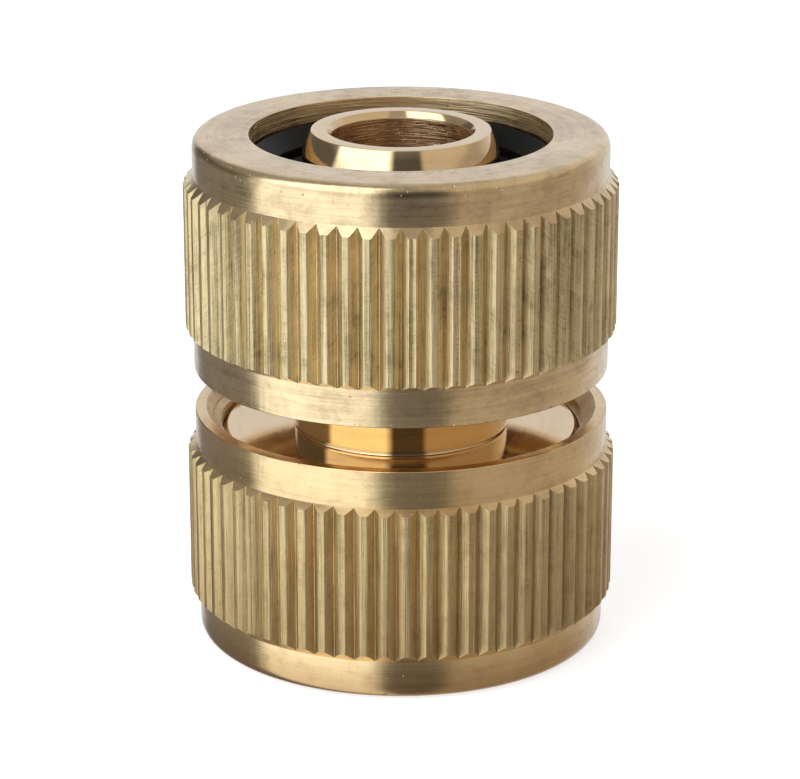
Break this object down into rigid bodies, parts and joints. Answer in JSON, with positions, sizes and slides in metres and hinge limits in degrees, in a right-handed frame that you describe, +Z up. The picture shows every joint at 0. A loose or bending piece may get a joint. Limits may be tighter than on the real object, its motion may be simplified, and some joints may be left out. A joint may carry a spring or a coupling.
{
  "type": "hose union fitting",
  "caption": "Double-ended brass compression joiner for garden hose: a bored body with barbed tails and threaded flanges, and at each end a knurled nut that closes a black clamp ring.",
  "frame": {"origin": "centre of the lower nut's outer face, at the bottom of the fitting", "axes": "+Z up along the common axis, from the lower hose end to the upper one; +Y away from the front"},
  "size_m": [0.03, 0.03, 0.0362],
  "materials": {
    "turned_brass": "bare turned brass, satin, with fine turning marks and drawn knurl",
    "polished_brass": "bare turned brass, brighter, with facing marks",
    "black_plastic": "smooth moulded black nylon, semi-gloss"
  },
  "bodies": {
    "body": {"body": "polished_brass"},
    "upper_clamp_ring": {"upper_clamp_ring": "black_plastic"},
    "upper_nut": {"upper_nut": "turned_brass"},
    "lower_clamp_ring": {"lower_clamp_ring": "black_plastic"},
    "lower_nut": {"lower_nut": "turned_brass"}
  },
  "joints": [
    {"name": "upper_ring_slide", "type": "slide", "parent": "body", "child": "upper_clamp_ring", "axis": [0, 0, 1], "range_m": [-0.0012, 0.0045]},
    {"name": "upper_nut_turn", "type": "hinge", "parent": "upper_clamp_ring", "child": "upper_nut", "pos_m": [0, 0, 0.0277], "axis": [0, 0, 1], "range_deg": [-288, 1080]},
    {"name": "lower_ring_slide", "type": "slide", "parent": "body", "child": "lower_clamp_ring", "axis": [0, 0, -1], "range_m": [-0.0012, 0.0045]},
    {"name": "lower_nut_turn", "type": "hinge", "parent": "lower_clamp_ring", "child": "lower_nut", "pos_m": [0, 0, 0.0082], "axis": [0, 0, -1], "range_deg": [-288, 1080]}
  ],
  "couplings": [
    {"joint": "upper_ring_slide", "follows": "upper_nut_turn", "m_per_rad": 0.00023873},
    {"joint": "lower_ring_slide", "follows": "lower_nut_turn", "m_per_rad": 0.00023873}
  ]
}
